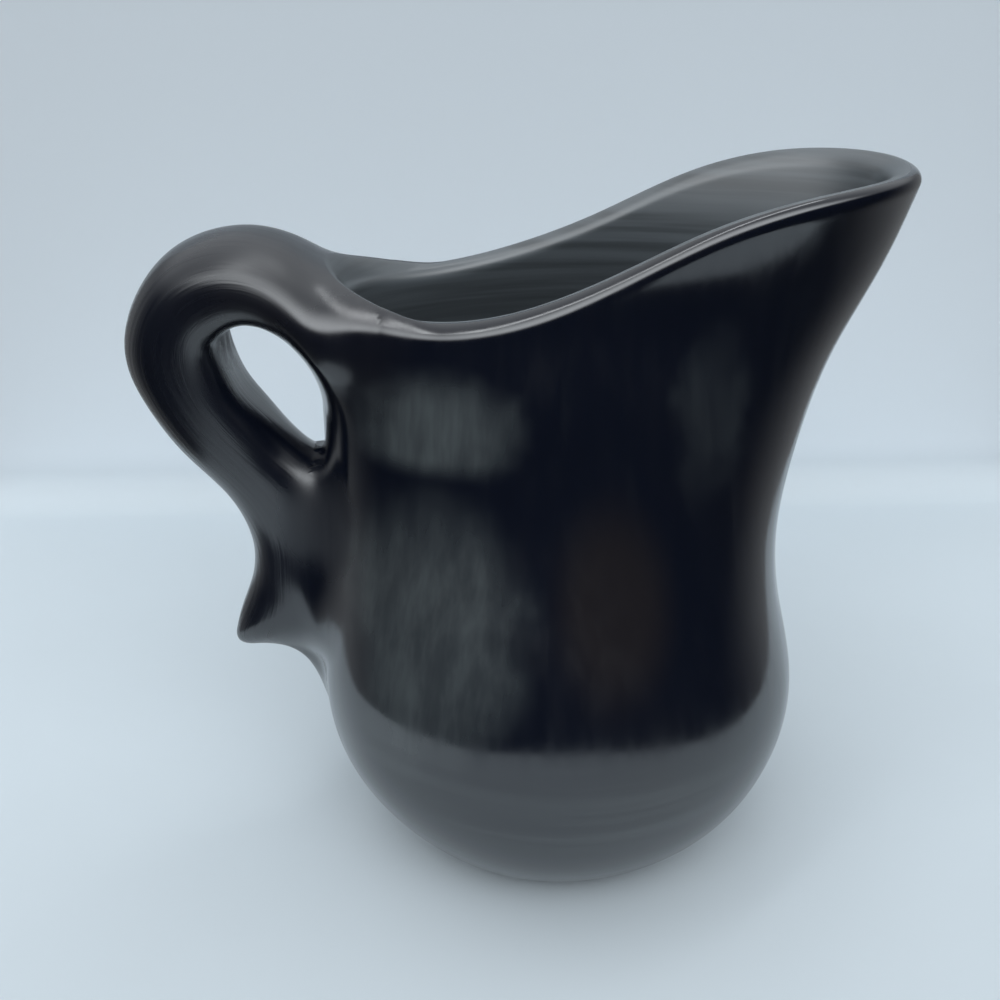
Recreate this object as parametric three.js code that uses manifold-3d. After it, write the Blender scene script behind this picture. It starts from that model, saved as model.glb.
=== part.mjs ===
// Small burnished black earthenware pitcher with a beak spout, a looped handle and a pinched spur.
// Millimetres, +Z up. The origin is the middle of the flat foot on the table, +X points to the spout,
// the handle is at -X, and the pot is the same on both sides of the XZ plane.
import * as THREE from 'three';
import Module from 'manifold-3d';

// Outline of the pot: heights of the stations, bottom to top
const UNDER_Z = -6; // the round underside carried on below the table, where the flat foot cuts it
const HEEL_Z = 10; // turn of the underside
const BOWL_Z = 24; // lower bowl
const BELLY_Z = 38; // widest place
const SHOULDER_Z = 56; // wall turning in
const NECK_Z = 72; // narrowest place at the front
const THROAT_Z = 90; // wall starting to flare
const MOUTH_Z = 108; // under the low part of the rim
const CHEEK_Z = 124; // side of the spout
const TIP_Z = 142.2; // top of the spout's tip

// Round part, the same all the way about the axis
const UNDER_R = 16;
const FOOT_R = 26.5; // edge of the flat foot
const HEEL_R = 38.3;
const BOWL_R = 46.8;
const BELLY_R = 49.2;

// Front of the wall, from the axis towards the spout
const SHOULDER_FRONT = 45.6;
const NECK_FRONT = 43.9;
const THROAT_FRONT = 46.8;
const MOUTH_FRONT = 52.6;
const CHEEK_FRONT = 59.8;
const TIP_FRONT = 65.2;

// Back of the wall, from the axis towards the handle
const SHOULDER_BACK = 48.2;
const NECK_BACK = 46.8;
const RIM_BACK = 46.2; // from the throat to the rim the back stands upright

// Side of the wall, half the breadth of the pot
const SHOULDER_SIDE = 45.2;
const NECK_SIDE = 38.6;
const THROAT_SIDE = 32.8;
const MOUTH_SIDE = 28.8;
const CHEEK_SIDE = 25.2;
const TIP_SIDE = 29.4;

// Beak of the spout: 0.5 is a round front, more is a sharper one, less is a fuller one
const NECK_PINCH = 0.52;
const THROAT_PINCH = 0.58;
const MOUTH_PINCH = 0.67;
const TIP_PINCH = 0.39;
const KEEL = 0.25; // rounding left on the keel of the beak

// Rim and wall
const RIM_LOW_Z = 119; // lowest part of the rim, before the handle
const WALL = 6; // thickness of the wall and of the rounded lip
const FLOOR = 7; // thickness of the floor at the middle
const LIP_DEPTH = 9; // height of the lip coil
const BASE_TOP_Z = 13; // top of the pressed base
const BELLY_TOP_Z = 60; // top of the belly coils
const SCARF = 2.4; // rise of each lapped seam from the outside to the inside
const SLIP = 0.34; // layer of slip between two pieces

// Handle and spur
const HANDLE_REACH = 84; // furthest from the axis
const HANDLE_TOP = 132; // top of the loop
const HANDLE_THICK = 20; // through the loop, finger side to back
const HANDLE_WIDE = 22.6; // side to side
const SPUR_Z = 42.6; // flat underside of the spur

// Fineness of the facets
const COUNT_AROUND = 72; // round the pot
const COUNT_STRAP = 24; // round the handle
const FACET = 3.4; // length of a facet along the handle

// Natural cubic spline through [place, value] pairs, straight beyond its ends.
function spline(pairs) {
  const n = pairs.length;
  const t = pairs.map((p) => p[0]);
  const v = pairs.map((p) => p[1]);
  const bend = new Array(n).fill(0);
  const up = new Array(n).fill(0);
  for (let i = 1; i < n - 1; i++) {
    const before = t[i] - t[i - 1];
    const after = t[i + 1] - t[i];
    const jump = (v[i + 1] - v[i]) / after - (v[i] - v[i - 1]) / before;
    const pivot = 2 * (before + after) - before * up[i - 1];
    up[i] = after / pivot;
    bend[i] = (6 * jump - before * bend[i - 1]) / pivot;
  }
  for (let i = n - 2; i > 0; i--) {
    bend[i] -= up[i] * bend[i + 1];
  }
  return (at) => {
    let i = 0;
    while (i < n - 2 && at > t[i + 1]) {
      i++;
    }
    const h = t[i + 1] - t[i];
    const slope = (v[i + 1] - v[i]) / h;
    if (at < t[0]) {
      return v[0] + (at - t[0]) * (slope - (h * bend[1]) / 6);
    }
    if (at > t[n - 1]) {
      return v[n - 1] + (at - t[n - 1]) * (slope + (h * bend[n - 2]) / 6);
    }
    const a = (t[i + 1] - at) / h;
    const b = (at - t[i]) / h;
    const curve = (a * a * a - a) * bend[i] + (b * b * b - b) * bend[i + 1];
    return a * v[i] + b * v[i + 1] + (curve * h * h) / 6;
  };
}

const bowl = [[UNDER_Z, UNDER_R], [0, FOOT_R], [HEEL_Z, HEEL_R], [BOWL_Z, BOWL_R], [BELLY_Z, BELLY_R]];
const frontAt = spline([...bowl, [SHOULDER_Z, SHOULDER_FRONT], [NECK_Z, NECK_FRONT], [THROAT_Z, THROAT_FRONT],
  [MOUTH_Z, MOUTH_FRONT], [CHEEK_Z, CHEEK_FRONT], [TIP_Z, TIP_FRONT]]);
const backAt = spline([...bowl, [SHOULDER_Z, SHOULDER_BACK], [NECK_Z, NECK_BACK], [THROAT_Z, RIM_BACK],
  [MOUTH_Z, RIM_BACK], [CHEEK_Z, RIM_BACK]]);
const sideAt = spline([...bowl, [SHOULDER_Z, SHOULDER_SIDE], [NECK_Z, NECK_SIDE], [THROAT_Z, THROAT_SIDE],
  [MOUTH_Z, MOUTH_SIDE], [CHEEK_Z, CHEEK_SIDE], [TIP_Z, TIP_SIDE]]);
const pinchAt = spline([[BELLY_Z, 0.5], [SHOULDER_Z, 0.5], [NECK_Z, NECK_PINCH], [THROAT_Z, THROAT_PINCH],
  [MOUTH_Z, MOUTH_PINCH], [TIP_Z, TIP_PINCH]]);

// Point of the wall at an angle about the axis and a height, moved in by the inset.
function wallPoint(angle, z, inset) {
  const c = Math.cos(angle);
  const s = Math.sin(angle);
  const reach = c > 0 ? frontAt(z) - inset : backAt(z) - inset;
  const pinch = c > 0 && z > BELLY_Z ? pinchAt(z) - 0.5 : 0;
  const squeeze = Math.pow((s * s + KEEL * KEEL) / (1 + KEEL * KEEL), pinch);
  return [reach * c, (sideAt(z) - inset) * s * squeeze, z];
}

// Height of the rim over a place between the handle and the spout's tip.
const riseAt = spline([[0, 0.09], [0.08, 0.04], [0.16, 0.022], [0.32, 0.123], [0.48, 0.377], [0.65, 0.736],
  [0.82, 0.945], [1, 1]]);
function rimZ(angle) {
  let z = RIM_LOW_Z;
  for (let i = 0; i < 40; i++) {
    const along = (wallPoint(angle, z, 0)[0] + RIM_BACK) / (TIP_FRONT + RIM_BACK);
    z = 0.5 * z + 0.5 * (RIM_LOW_Z + (TIP_Z - RIM_LOW_Z) * riseAt(along));
  }
  return z;
}

// Angles about the axis, closer together at the beak.
const angles = Array.from({ length: COUNT_AROUND }, (_, i) => {
  const even = (2 * Math.PI * i) / COUNT_AROUND;
  return even - 0.35 * Math.sin(even);
});
const rims = angles.map(rimZ);

function mesh(name, points, faces, colour) {
  const geometry = new THREE.BufferGeometry();
  geometry.setAttribute('position', new THREE.Float32BufferAttribute(points.flat(), 3));
  geometry.setIndex(faces.flat());
  geometry.computeVertexNormals();
  const clay = new THREE.MeshStandardMaterial({ color: colour, roughness: 0.3, metalness: 0 });
  clay.name = name;
  const node = new THREE.Mesh(geometry, clay);
  node.name = name;
  return node;
}

// Closed ring: the same number of points at every angle, each list a closed loop, outside upwards first.
function ring(loops) {
  const n = loops.length;
  const k = loops[0].length;
  const faces = [];
  for (let i = 0; i < n; i++) {
    for (let j = 0; j < k; j++) {
      const a = i * k + j;
      const b = ((i + 1) % n) * k + j;
      const c = ((i + 1) % n) * k + ((j + 1) % k);
      const d = i * k + ((j + 1) % k);
      faces.push([a, b, c], [a, c, d]);
    }
  }
  return { points: loops.flat(), faces };
}

// Coil of wall between two lapped seams, given as heights on the outside at one angle.
function coilLoop(angle, low, high, rows) {
  const loop = [];
  for (let j = 0; j <= rows; j++) {
    loop.push(wallPoint(angle, low + ((high - low) * j) / rows, 0));
  }
  for (let j = rows; j >= 0; j--) {
    loop.push(wallPoint(angle, low + SCARF + ((high - low) * j) / rows, WALL));
  }
  return loop;
}

// Pressed base: flat underneath, turned up at the edge, with a rounded floor.
function base() {
  const points = [[0, 0, 0], [0, 0, FLOOR]];
  const faces = [];
  const rows = 6;
  const profile = (angle) => {
    const loop = [];
    for (let j = 1; j <= 3; j++) {
      const p = wallPoint(angle, 0, 0);
      loop.push([(p[0] * j) / 3, (p[1] * j) / 3, 0]);
    }
    for (let j = 1; j <= rows; j++) {
      loop.push(wallPoint(angle, (BASE_TOP_Z * j) / rows, 0));
    }
    const edge = wallPoint(angle, BASE_TOP_Z + SCARF, WALL);
    for (let j = rows; j >= 1; j--) {
      const turn = (Math.PI / 2) * (j / rows);
      const share = Math.sin(turn);
      const z = edge[2] - (edge[2] - FLOOR) * Math.cos(turn);
      loop.push([edge[0] * share, edge[1] * share, z]);
    }
    return loop;
  };
  const loops = angles.map(profile);
  const k = loops[0].length;
  points.push(...loops.flat());
  for (let i = 0; i < COUNT_AROUND; i++) {
    const here = 2 + i * k;
    const next = 2 + ((i + 1) % COUNT_AROUND) * k;
    faces.push([0, next, here]);
    for (let j = 0; j < k - 1; j++) {
      faces.push([here + j, next + j, next + j + 1], [here + j, next + j + 1, here + j + 1]);
    }
    faces.push([here + k - 1, next + k - 1, 1]);
  }
  return { points, faces };
}

function belly() {
  return ring(angles.map((a) => coilLoop(a, BASE_TOP_Z + SLIP, BELLY_TOP_Z, 9)));
}

function neck() {
  return ring(angles.map((a, i) => coilLoop(a, BELLY_TOP_Z + SLIP, rims[i] - LIP_DEPTH, 11)));
}

// Lip coil: the wall's outside, a half round over the top, and the inside down to the lapped seam.
function lip() {
  return ring(angles.map((a, i) => {
    const low = rims[i] - LIP_DEPTH + SLIP;
    const spring = rims[i] - WALL / 2;
    const loop = [wallPoint(a, low, 0), wallPoint(a, (low + spring) / 2, 0)];
    for (let j = 0; j <= 8; j++) {
      const turn = (Math.PI * j) / 8;
      loop.push(wallPoint(a, spring + (WALL / 2) * Math.sin(turn), (WALL / 2) * (1 - Math.cos(turn))));
    }
    loop.push(wallPoint(a, (low + SCARF + spring) / 2, WALL), wallPoint(a, low + SCARF, WALL));
    return loop;
  }));
}

// Room kept clear of the handle: the pot filled solid, one layer of slip larger, open upwards inside the lip.
function room() {
  const loops = angles.map((a, i) => {
    const spring = rims[i] - WALL / 2;
    const loop = [];
    for (let j = 0; j <= 24; j++) {
      loop.push(wallPoint(a, -1 + ((spring + 1) * j) / 24, -SLIP));
    }
    for (let j = 1; j <= 4; j++) {
      const turn = (Math.PI * j) / 8;
      const round = WALL / 2 + SLIP;
      loop.push(wallPoint(a, spring + round * Math.sin(turn), WALL / 2 - round * Math.cos(turn)));
    }
    const crest = wallPoint(a, spring, WALL / 2);
    loop.push([crest[0], crest[1], 2 * TIP_Z]);
    return loop;
  });
  const k = loops[0].length;
  const points = [[0, 0, -1], [0, 0, 2 * TIP_Z], ...loops.flat()];
  const faces = [];
  for (let i = 0; i < COUNT_AROUND; i++) {
    const here = 2 + i * k;
    const next = 2 + ((i + 1) % COUNT_AROUND) * k;
    faces.push([0, next, here]);
    for (let j = 0; j < k - 1; j++) {
      faces.push([here + j, next + j, next + j + 1], [here + j, next + j + 1, here + j + 1]);
    }
    faces.push([here + k - 1, next + k - 1, 1]);
  }
  return { points, faces };
}

// Form of the handle from inside the lip round the loop, down the back as a rib, out to the spur's tip and
// under it to the belly. Each station: place of the outer face across from the wall to the furthest reach,
// place down from the top to the spur's underside, direction through the strap from the outer face in
// degrees, thickness and width as shares of the loop's own.
const form = [
  [-0.35, 0.135, -90, 0.9, 1.2],
  [-0.13, 0.115, -90, 0.98, 1.5],
  [0.087, 0.037, -91, 0.93, 1.42],
  [0.384, 0, -83, 0.91, 1.18],
  [0.73, 0.056, -53, 0.94, 1.03],
  [0.955, 0.218, -9, 0.99, 0.99],
  [0.895, 0.368, 10, 1, 0.97],
  [0.728, 0.486, 25, 0.96, 0.95],
  [0.542, 0.583, 36, 0.93, 0.92],
  [0.435, 0.695, 35, 1.09, 0.87],
  [0.45, 0.806, 7, 1.04, 0.78],
  [0.54, 0.906, -5, 1.18, 0.64],
  [0.587, 0.976, -2, 1.25, 0.48],
  [0.51, 1, -1, 1.1, 0.41],
  [0.34, 1.002, -5, 0.8, 0.4],
  [0.193, 1.041, -7, 0.55, 0.4],
  [0.108, 1.094, -10, 0.42, 0.35],
  [0.008, 1.167, 0, 0.33, 0.27],
];
const stations = form.map(([across, down, lean, thick, wide]) => {
  const x = -(RIM_BACK + across * (HANDLE_REACH - RIM_BACK));
  const z = HANDLE_TOP - down * (HANDLE_TOP - SPUR_Z);
  const through = thick * HANDLE_THICK;
  const turn = THREE.MathUtils.degToRad(lean);
  const half = [(Math.cos(turn) * through) / 2, (Math.sin(turn) * through) / 2];
  return { x: x + half[0], z: z + half[1], hx: half[0], hz: half[1], wide: (wide * HANDLE_WIDE) / 2 };
});
const lengths = [0];
for (let i = 1; i < stations.length; i++) {
  const step = Math.hypot(stations[i].x - stations[i - 1].x, stations[i].z - stations[i - 1].z);
  lengths.push(lengths[i - 1] + step);
}
const line = {};
for (const key of ['x', 'z', 'hx', 'hz', 'wide']) {
  line[key] = spline(stations.map((s, i) => [lengths[i], s[key]]));
}
const split = lengths[form.findIndex(([, down]) => down > 0.85) - 1]; // where the spur is luted on
const end = lengths[lengths.length - 1];

// Strap of the handle between two lengths along it, closed by a flat face at each end.
function strap(from, to) {
  const rows = Math.round((to - from) / FACET);
  const points = [];
  const faces = [];
  for (let i = 0; i <= rows; i++) {
    const at = from + ((to - from) * i) / rows;
    for (let j = 0; j < COUNT_STRAP; j++) {
      const turn = (2 * Math.PI * j) / COUNT_STRAP;
      const c = Math.cos(turn);
      const y = line.wide(at) * Math.sin(turn);
      points.push([line.x(at) - c * line.hx(at), y, line.z(at) - c * line.hz(at)]);
    }
  }
  for (let i = 0; i < rows; i++) {
    for (let j = 0; j < COUNT_STRAP; j++) {
      const a = i * COUNT_STRAP + j;
      const b = i * COUNT_STRAP + ((j + 1) % COUNT_STRAP);
      faces.push([a, b, b + COUNT_STRAP], [a, b + COUNT_STRAP, a + COUNT_STRAP]);
    }
  }
  for (const [row, flip] of [[0, true], [rows, false]]) {
    const at = from + ((to - from) * row) / rows;
    const middle = points.push([line.x(at), 0, line.z(at)]) - 1;
    for (let j = 0; j < COUNT_STRAP; j++) {
      const a = row * COUNT_STRAP + j;
      const b = row * COUNT_STRAP + ((j + 1) % COUNT_STRAP);
      faces.push(flip ? [b, a, middle] : [a, b, middle]);
    }
  }
  return { points, faces };
}

const wasm = await Module();
wasm.setup();

function solid({ points, faces }) {
  return new wasm.Manifold(new wasm.Mesh({
    numProp: 3,
    vertProperties: new Float32Array(points.flat()),
    triVerts: new Uint32Array(faces.flat()),
  }));
}

function plain(body) {
  const out = body.getMesh();
  const points = [];
  const faces = [];
  for (let i = 0; i < out.vertProperties.length; i += out.numProp) {
    points.push(Array.from(out.vertProperties.slice(i, i + 3)));
  }
  for (let i = 0; i < out.triVerts.length; i += 3) {
    faces.push(Array.from(out.triVerts.slice(i, i + 3)));
  }
  return { points, faces };
}

const clear = solid(room());
const loop = plain(solid(strap(0, split - SLIP)).subtract(clear));
const spur = plain(solid(strap(split, end)).subtract(clear));

const pitcher = new THREE.Group();
pitcher.name = 'pottery_pitcher';
const clays = [
  ['base', base(), 0x1d1e20],
  ['belly_wall', belly(), 0x1f2022],
  ['neck_and_spout', neck(), 0x202124],
  ['rim_lip', lip(), 0x232428],
  ['handle_loop', loop, 0x212225],
  ['handle_spur', spur, 0x222326],
];
for (const [name, shape, colour] of clays) {
  pitcher.add(mesh(name, shape.points, shape.faces, colour));
}

export default pitcher;
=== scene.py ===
"""Burnished black pottery pitcher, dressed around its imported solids.

The pot is a pressed base, belly coils, a neck drawn out into a beak spout and a rounded lip. A looped
handle with a pinched spur is luted to its back. Formulas are in millimetres, meshes are written in metres.
"""

import functools
import math

import bpy
import numpy as np
from mathutils import Matrix, Vector


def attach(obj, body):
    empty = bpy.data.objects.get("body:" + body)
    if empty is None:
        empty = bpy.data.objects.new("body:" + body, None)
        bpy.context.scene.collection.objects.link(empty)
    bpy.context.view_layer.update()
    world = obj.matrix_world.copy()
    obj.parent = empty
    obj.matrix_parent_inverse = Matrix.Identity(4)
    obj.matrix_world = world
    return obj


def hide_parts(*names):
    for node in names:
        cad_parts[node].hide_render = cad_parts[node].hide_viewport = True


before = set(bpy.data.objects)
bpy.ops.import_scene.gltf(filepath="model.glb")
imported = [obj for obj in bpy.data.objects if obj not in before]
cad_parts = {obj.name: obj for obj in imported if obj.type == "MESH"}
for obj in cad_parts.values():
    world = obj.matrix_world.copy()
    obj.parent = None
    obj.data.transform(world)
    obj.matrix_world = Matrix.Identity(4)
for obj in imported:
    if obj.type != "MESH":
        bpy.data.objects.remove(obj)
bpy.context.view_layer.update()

bl_info = {
    "name": "Pottery pitcher",
    "version": (1, 0, 0),
    "blender": (4, 5, 0),
    "location": "View3D > Sidebar > Pitcher",
    "description": "Builds a burnished black pottery pitcher and the table that it stands on",
    "category": "Object",
}

MM = 0.001
BODY = "root"

# Fineness of the skins
COLUMNS = 432
CROWD = 0.42  # how much closer the columns stand at the beak and at the handle
ROWS_UNDER = 14
ROWS_EDGE = 8
ROWS_BASE = 14
ROWS_BELLY = 50
ROWS_NECK = 64
ROWS_FLANK = 8
ROWS_LIP = 24
ROWS_INNER_NECK = 52
ROWS_INNER_BELLY = 40
ROWS_FLOOR = 24
ROWS_ROOT = 70
ROWS_LOOP = 180
ROWS_SPUR = 110
ROUND_STRAP = 144

# Form of the handle, as in the solids. Each station: place of the outer face across from the wall to the
# furthest reach, place down from the top to the spur's underside, direction through the strap in degrees,
# thickness and width as shares of the loop's own.
HANDLE_FORM = (
    (-0.35, 0.135, -90, 0.9, 1.2),
    (-0.13, 0.115, -90, 0.98, 1.5),
    (0.087, 0.037, -91, 0.93, 1.42),
    (0.384, 0, -83, 0.91, 1.18),
    (0.73, 0.056, -53, 0.94, 1.03),
    (0.955, 0.218, -9, 0.99, 0.99),
    (0.895, 0.368, 10, 1, 0.97),
    (0.728, 0.486, 25, 0.96, 0.95),
    (0.542, 0.583, 36, 0.93, 0.92),
    (0.435, 0.695, 35, 1.09, 0.87),
    (0.45, 0.806, 7, 1.04, 0.78),
    (0.54, 0.906, -5, 1.18, 0.64),
    (0.587, 0.976, -2, 1.25, 0.48),
    (0.51, 1, -1, 1.1, 0.41),
    (0.34, 1.002, -5, 0.8, 0.4),
    (0.193, 1.041, -7, 0.55, 0.4),
    (0.108, 1.094, -10, 0.42, 0.35),
    (0.008, 1.167, 0, 0.33, 0.27),
)
ROOT_STATION = 3  # top of the loop
WAIST = 6  # furthest part of the loop, between its upper and lower halves
SHANK = 10  # where the spur is luted on
LIMB_STATIONS = (12, 11, 10, 9, 8, 7)  # outer face of the limb, upwards
UNDER_STATIONS = (13, 14, 15, 16, 17)  # underside of the spur, towards the pot

# Sweep of the rim: place along from the back to the tip of the spout, share of the rise from the low rim
RISE = (
    (0, 0.09),
    (0.08, 0.04),
    (0.16, 0.022),
    (0.32, 0.123),
    (0.48, 0.377),
    (0.65, 0.736),
    (0.82, 0.945),
    (1, 1),
)

# The handle's joint: heights between which one rule gives way to the next, in millimetres
JOINT_FADES = (13, 32)  # the joint ends under the spur
SPUR_TO_LIMB = (38, 52)
FIN_TO_LOOP = (57, 71)
CORNER_STARTS = (62, 78)
LIMB_TO_HOLE = (88, 100)
CORNER_STOPS = (92, 101)
HOLE_TO_ROOT = (107, 119)
CORNER_HALF = (2, 12)  # from the middle of the finger hole's bottom corner to its sides
JOINT_GAP = 12  # how far the handle is held off below its joint
DEPTH_SHARP = (2, 6)  # depths in the wall between which the fillet dies out
LIFT_FROM = 18  # height above which the wall may run into the handle
FIELD_STEP = 0.04  # small step for the slope of a field

# Places on the clay, each a middle and half sizes in millimetres
BROWN_CLOUD = ((8, -38, 72), (14, 14, 28))
# The upper, lower and spout places are painted reflections: grey laid where bright things in front of the
# pot are mirrored
UPPER_REFLECTION = ((-25, -26, 101), (23, 16, 13))
LOWER_REFLECTION = ((-27, -33, 63), (25, 22, 33))
SPOUT_REFLECTION = ((25, -25, 103), (9, 14, 20))
CROOK = ((-44, -8, 76), (14, 16, 16))
HANDLE_CREST = ((-47, -4, 127), (22, 20, 18))


def length(name, description, default):
    """A length property, written here in millimetres."""
    return bpy.props.FloatProperty(
        name=name, description=description, default=default * MM, unit="LENGTH", subtype="DISTANCE"
    )


def lengths(name, description, *defaults):
    """A row of length properties, written here in millimetres."""
    return bpy.props.FloatVectorProperty(
        name=name, description=description, size=len(defaults),
        default=[v * MM for v in defaults], unit="LENGTH",
    )


def share(name, description, default, low=0.0, high=1.0):
    """A plain number between two limits."""
    return bpy.props.FloatProperty(
        name=name, description=description, default=default, min=low, max=high, subtype="FACTOR"
    )


def angle(name, description, degrees):
    """An angle property, written here in degrees."""
    return bpy.props.FloatProperty(
        name=name, description=description, default=math.radians(degrees), subtype="ANGLE"
    )


def colour(name, description, *default):
    """A linear colour."""
    return bpy.props.FloatVectorProperty(
        name=name, description=description, size=3, default=default, min=0.0, max=1.0, subtype="COLOR"
    )


class PitcherPot(bpy.types.PropertyGroup):
    """Sizes of the pot's wall."""

    heights: lengths(
        "Heights",
        "Under, foot, heel, bowl, belly, shoulder, neck, throat, mouth, cheek and tip of the spout",
        -6, 0, 10, 24, 38, 56, 72, 90, 108, 124, 142.2,
    )
    bowl: lengths("Round part", "Radius at under, foot, heel, bowl and belly", 16, 26.5, 38.3, 46.8, 49.2)
    front: lengths(
        "Front", "From the axis to the front at shoulder, neck, throat, mouth, cheek and tip",
        45.6, 43.9, 46.8, 52.6, 59.8, 65.2,
    )
    back: lengths("Back", "From the axis to the back at shoulder, neck and rim", 48.2, 46.8, 46.2)
    side: lengths(
        "Side", "Half the breadth at shoulder, neck, throat, mouth, cheek and tip",
        45.2, 38.6, 32.8, 28.8, 25.2, 29.4,
    )
    pinch: bpy.props.FloatVectorProperty(
        name="Pinch", description="Sharpness of the beak at neck, throat, mouth and tip, 0.5 is round",
        size=4, default=(0.52, 0.58, 0.67, 0.39),
    )
    keel: share("Keel", "Rounding left on the keel of the beak", 0.25)
    rim_low: length("Low rim", "Height that the rim's sweep is counted from, about its lowest part", 119)
    wall: length("Wall", "Thickness of the wall and of the rounded lip", 6)
    floor: length("Floor", "Thickness of the floor at the middle", 7)
    edge: length("Foot edge", "Rounding at the edge of the foot", 2.2)
    dish: length("Foot dish", "Hollow under the middle of the foot", 0.4)
    base_top: length("Base", "Top of the pressed base", 13)
    belly_top: length("Belly coils", "Top of the belly coils", 60)
    lip_depth: length("Lip coil", "Height of the lip coil", 9)
    scarf: length("Scarf", "Rise of a lapped seam from the outside to the inside", 2.4)
    sway: length("Hand sway", "How far the hand-made wall strays from true", 0.22)


class PitcherHandle(bpy.types.PropertyGroup):
    """Sizes of the handle and its spur."""

    reach: length("Reach", "Furthest from the axis", 84)
    top: length("Top", "Top of the loop", 132)
    thick: length("Thickness", "Through the loop, finger side to back", 20)
    wide: length("Width", "Side to side", 22.6)
    spur: length("Spur", "Height of the spur's underside", 42.6)
    root_fillet: length("Root fillet", "Clay smoothed in beside the handle's root", 15)
    limb_fillet: length("Limb fillet", "Clay smoothed in beside the lower limb", 12)
    hole_fillet: length("Hole fillet", "Clay smoothed in beside the finger hole", 10)
    crotch_fillet: length("Crotch fillet", "Clay left in the bottom corner of the finger hole", 4.5)
    spur_fillet: length("Spur fillet", "Clay smoothed in under the spur", 5)
    tip_round: length("Spur tip", "Rounding of the spur's tip", 4)
    edge_depth: length("Spur edge", "Depth over which the spur's edge is rounded", 11)
    finger_ease: length("Finger room", "Clay scraped from the loop's finger side", 1.2)
    finger_flat: share("Finger side", "Flatness of the loop's finger side, 2 is round", 3.4, 2.0, 6.0)


class PitcherClay(bpy.types.PropertyGroup):
    """Finish of the burnished clay."""

    black: colour("Black", "Burnished black clay", 0.0026, 0.0042, 0.01)
    cloud: colour("Fire cloud", "Brown left by the fire", 0.012, 0.0105, 0.0125)
    # The haze colour lays painted reflections on the front of the wall and low on the belly, and faint real
    # grey streaks
    haze: colour("Haze", "Grey bloom where the burnish is thin", 0.078, 0.09, 0.094)
    # The lining's grey is partly the clay's own and partly painted light on the inner wall
    lining: colour("Lining", "Grey of the clay inside the mouth", 0.085, 0.098, 0.108)
    scuff: colour("Scuff", "Grey of the scraped clay inside the finger hole", 0.04, 0.041, 0.043)
    pit: colour("Pits", "Grey in the small pits", 0.05, 0.05, 0.05)
    gloss: share("Gloss", "Roughness where the burnish is best", 0.1)
    dull: share("Dull", "Roughness where the burnish is weakest", 0.22)
    ior: share("Shine", "Index of refraction of the burnished skin", 1.8, 1.0, 3.0)


class PitcherStage(bpy.types.PropertyGroup):
    """Table, light and camera."""

    table: colour("Table", "Pale table top", 0.58, 0.64, 0.68)
    table_sides: lengths("Table sides", "Left and right ends of the table beside the pot", -138, 165)
    table_front: length("Table front", "From the pot's axis to the table's front edge", 310)
    board_sides: lengths("Board sides", "Left and right ends of the board behind", -190, 165)
    table_back: length("Table back", "From the pot's axis to the board behind", 157)
    board_tone: colour("Board tone", "Pale board behind the table", 0.74, 0.8, 0.85)
    board: length("Board", "Height of the board behind the table", 230)
    cove: length("Cove", "Rounding between the table and the board", 12)
    daylight: colour("Daylight", "Colour of the soft light all round", 0.92, 0.965, 1.0)
    lamp: colour("Lamp", "Colour of the overhead strip", 0.94, 0.975, 1.0)
    camera: lengths("Camera", "Place of the camera", -13.8, -237.9, 191.6)
    pitch: angle("Pitch", "Camera tipped below the horizon", 26.0)
    turn: angle("Turn", "Camera turned to its right", 0.45)
    roll: angle("Roll", "Camera turned about its own line of sight", -0.64)
    lens: bpy.props.FloatProperty(
        name="Lens", description="Focal length in millimetres on a 36 mm sensor", default=47.0,
        unit="CAMERA",
    )


def ease(low, high, value):
    """0 below low, 1 above high, and the cubic 3t^2 - 2t^3 between."""
    t = np.clip((value - low) / (high - low), 0.0, 1.0)
    return t * t * (3.0 - 2.0 * t)


class Spline:
    """Natural cubic spline through places, with one or several values at each, straight beyond its ends."""

    def __init__(self, places, values):
        self.places = np.asarray(places, float)
        self.values = np.asarray(values, float).reshape(len(self.places), -1)
        self.gaps = np.diff(self.places)
        system = np.eye(len(self.places))
        for i in range(1, len(self.gaps)):
            before, after = self.gaps[i - 1 : i + 1]
            system[i, i - 1 : i + 2] = before, 2 * (before + after), after
        turn = np.zeros_like(self.values)
        turn[1:-1] = 6 * np.diff(np.diff(self.values, axis=0) / self.gaps[:, None], axis=0)
        self.bends = np.linalg.solve(system, turn)

    def both(self, at):
        """Values and slopes at each place: on a span of width h, with b the share along it and a = 1 - b,
        a v0 + b v1 + ((a^3 - a) m0 + (b^3 - b) m1) h^2 / 6, and its derivative."""
        at = np.asarray(at, float)
        held = np.clip(at, self.places[0], self.places[-1])
        i = np.clip(np.searchsorted(self.places, held, side="right") - 1, 0, len(self.gaps) - 1)
        h = self.gaps[i][..., None]
        b = (held - self.places[i])[..., None] / h
        a = 1 - b
        v0, v1, m0, m1 = self.values[i], self.values[i + 1], self.bends[i], self.bends[i + 1]
        slope = (v1 - v0) / h + ((3 * b * b - 1) * m1 - (3 * a * a - 1) * m0) * h / 6
        value = a * v0 + b * v1 + ((a**3 - a) * m0 + (b**3 - b) * m1) * h * h / 6
        return value + (at - held)[..., None] * slope, slope

    def __call__(self, at):
        value = self.both(at)[0]
        return value[..., 0] if value.shape[-1] == 1 else value


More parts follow.
